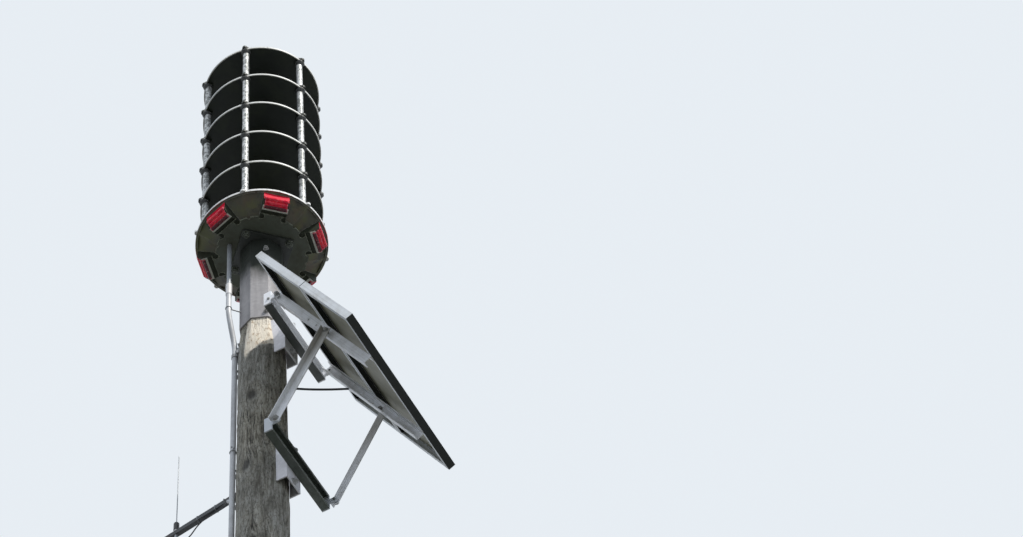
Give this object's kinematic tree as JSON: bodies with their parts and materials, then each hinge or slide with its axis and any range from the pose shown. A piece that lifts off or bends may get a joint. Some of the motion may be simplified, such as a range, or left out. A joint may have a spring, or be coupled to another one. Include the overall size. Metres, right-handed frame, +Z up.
{
  "type": "civil defense siren tower",
  "caption": "Tall wooden pole carrying a stacked-disc siren head with red lamps, a tilting solar panel mount, a conduit and an antenna arm.",
  "frame": {"origin": "centre of the pole's foot at ground level", "axes": "+Z up, +X from the pole out to the solar panels, +Y along the cross arms"},
  "size_m": [1.3758, 0.98, 14.951],
  "materials": {
    "weathered_wood": "weathered grey-brown pole timber",
    "galvanized_steel": "dull hot-dip galvanized steel",
    "dark_painted_steel": "dark olive-grey paint, weathered",
    "horn_paint": "near-black paint with pale worn rims",
    "post_steel": "mottled bare steel",
    "red_lens": "translucent red ribbed lens",
    "lamp_housing": "weathered cast housing",
    "mount_aluminium": "mill-finish extrusion",
    "arm_steel": "galvanized channel",
    "panel_border": "anodized border",
    "solar_glass": "dark glass-faced laminate with a pale back sheet",
    "black_cable": "black sheathed cable",
    "conduit_grey": "weathered grey plastic pipe",
    "coupling_white": "pale plastic coupling",
    "antenna_black": "black moulding",
    "whip_steel": "thin steel rod",
    "cabinet_grey": "light grey powder coat"
  },
  "bodies": {
    "root": {"pole": "weathered_wood", "pole_sleeve": "galvanized_steel", "standoff_upper": "galvanized_steel", "standoff_lower": "galvanized_steel", "conduit_straps": "galvanized_steel", "cabinet_brackets": "galvanized_steel", "head_flange": "dark_painted_steel", "base_hub": "dark_painted_steel", "base_pan": "dark_painted_steel", "horn_disc_1": "horn_paint", "horn_disc_2": "horn_paint", "horn_disc_3": "horn_paint", "horn_disc_4": "horn_paint", "horn_disc_5": "horn_paint", "horn_core_1": "horn_paint", "horn_core_2": "horn_paint", "horn_core_3": "horn_paint", "horn_core_4": "horn_paint", "horn_core_5": "horn_paint", "post_1": "post_steel", "post_2": "post_steel", "post_3": "post_steel", "post_4": "post_steel", "post_5": "post_steel", "post_6": "post_steel", "lamp_1": "red_lens", "lamp_2": "red_lens", "lamp_3": "red_lens", "lamp_4": "red_lens", "lamp_5": "red_lens", "lamp_6": "red_lens", "lamp_brackets": "lamp_housing", "cross_arm_upper": "arm_steel", "cross_arm_lower": "arm_steel", "panel_cable": "black_cable", "antenna_coax": "black_cable", "conduit": "conduit_grey", "conduit_riser": "conduit_grey", "conduit_coupling": "coupling_white", "antenna_base": "antenna_black", "coax_connector": "antenna_black", "antenna_whip": "whip_steel", "antenna_arm": "arm_steel", "cabinet": "cabinet_grey"},
    "panels": {"rail_near": "mount_aluminium", "rail_far": "mount_aluminium", "panel_frame_upper": "panel_border", "panel_frame_lower": "panel_border", "panel_glass_upper": "solar_glass", "panel_glass_lower": "solar_glass"},
    "braces": {"brace_near": "mount_aluminium", "brace_far": "mount_aluminium"}
  },
  "joints": [
    {"name": "panel_tilt", "type": "hinge", "parent": "root", "child": "panels", "pos_m": [0.232, 0, 12.44], "axis": [0, 1, 0], "range_deg": [0, 8], "deforming": ["panel_cable"]},
    {"name": "brace_swing", "type": "hinge", "parent": "root", "child": "braces", "pos_m": [0.226, 0, 11.446], "axis": [0, 1, 0], "range_deg": [-11.5, 0.5]}
  ],
  "couplings": [
    {"joint": "brace_swing", "follows": "panel_tilt", "ratio": -1.372}
  ]
}
